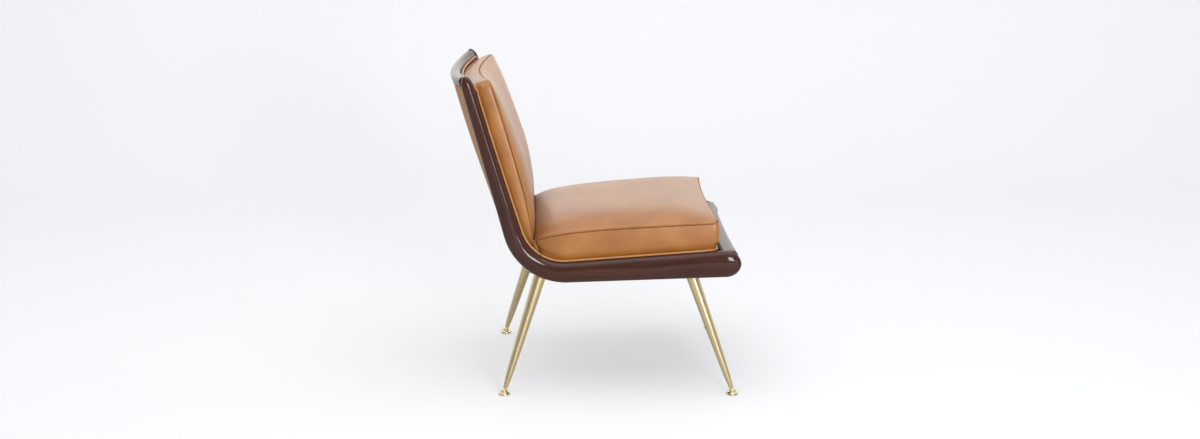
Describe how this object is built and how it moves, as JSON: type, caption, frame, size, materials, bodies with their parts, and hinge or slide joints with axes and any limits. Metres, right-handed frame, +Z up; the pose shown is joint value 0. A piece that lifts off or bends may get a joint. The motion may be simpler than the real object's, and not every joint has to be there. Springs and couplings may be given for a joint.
{
  "type": "lounge chair",
  "caption": "Armless low lounge chair with curved walnut side frames, tan leather seat and back cushions, and splayed tapered brass legs on swivel feet.",
  "frame": {"origin": "on the floor, under the middle of the chair's width and depth", "axes": "+X to the sitter's left, +Y to the rear, +Z up"},
  "size_m": [0.5948, 0.6979, 0.7778],
  "materials": {
    "walnut_frame": "dark walnut, glossy lacquer",
    "tan_leather": "smooth tan leather, satin",
    "black_lining": "thin woven black lining",
    "seat_foam": "soft cream foam, matt",
    "plywood_core": "raw plywood",
    "satin_brass": "satin brushed brass, pale",
    "zinc_steel": "zinc plated steel",
    "beech_core": "beech stained dark, matt"
  },
  "bodies": {
    "chair": {"back_post_right": "walnut_frame", "seat_rail_right": "walnut_frame", "back_post_left": "walnut_frame", "seat_rail_left": "walnut_frame", "crest_rail": "walnut_frame", "front_rail": "walnut_frame", "rear_seat_rail": "beech_core", "lower_back_rail": "beech_core", "crest_tenon_right": "beech_core", "crest_tenon_left": "beech_core", "front_tenon_right": "beech_core", "front_tenon_left": "beech_core", "rear_tenon_right": "beech_core", "rear_tenon_left": "beech_core", "scarf_tenon_right": "beech_core", "scarf_tenon_left": "beech_core", "leg_front_right": "satin_brass", "ball_stud_front_right": "satin_brass", "leg_stud_front_right": "zinc_steel", "leg_plate_front_right": "zinc_steel", "plate_screw_1_front_right": "zinc_steel", "plate_screw_2_front_right": "zinc_steel", "corner_block_front_right": "beech_core", "leg_front_left": "satin_brass", "ball_stud_front_left": "satin_brass", "leg_stud_front_left": "zinc_steel", "leg_plate_front_left": "zinc_steel", "plate_screw_1_front_left": "zinc_steel", "plate_screw_2_front_left": "zinc_steel", "corner_block_front_left": "beech_core", "leg_rear_right": "satin_brass", "ball_stud_rear_right": "satin_brass", "leg_stud_rear_right": "zinc_steel", "leg_plate_rear_right": "zinc_steel", "plate_screw_1_rear_right": "zinc_steel", "plate_screw_2_rear_right": "zinc_steel", "corner_block_rear_right": "beech_core", "leg_rear_left": "satin_brass", "ball_stud_rear_left": "satin_brass", "leg_stud_rear_left": "zinc_steel", "leg_plate_rear_left": "zinc_steel", "plate_screw_1_rear_left": "zinc_steel", "plate_screw_2_rear_left": "zinc_steel", "corner_block_rear_left": "beech_core", "back_panel": "plywood_core", "outside_back": "tan_leather", "back_foam": "seat_foam", "back_cover": "tan_leather", "back_welt": "tan_leather", "seat_deck": "plywood_core", "seat_foam": "seat_foam", "seat_cover": "tan_leather", "seat_welt": "tan_leather", "dust_cover": "black_lining"},
    "glide_front_right": {"glide_front_right": "satin_brass"},
    "glide_front_left": {"glide_front_left": "satin_brass"},
    "glide_rear_right": {"glide_rear_right": "satin_brass"},
    "glide_rear_left": {"glide_rear_left": "satin_brass"}
  },
  "joints": [
    {"name": "glide_tilt_front_right", "type": "hinge", "parent": "chair", "child": "glide_front_right", "pos_m": [-0.28297, -0.3319, 0.009], "axis": [1, 0, 0], "range_deg": [-8, 8]},
    {"name": "glide_tilt_front_left", "type": "hinge", "parent": "chair", "child": "glide_front_left", "pos_m": [0.28297, -0.3319, 0.009], "axis": [1, 0, 0], "range_deg": [-8, 8]},
    {"name": "glide_tilt_rear_right", "type": "hinge", "parent": "chair", "child": "glide_rear_right", "pos_m": [-0.26234, 0.2228, 0.009], "axis": [1, 0, 0], "range_deg": [-8, 8]},
    {"name": "glide_tilt_rear_left", "type": "hinge", "parent": "chair", "child": "glide_rear_left", "pos_m": [0.26234, 0.2228, 0.009], "axis": [1, 0, 0], "range_deg": [-8, 8]}
  ]
}
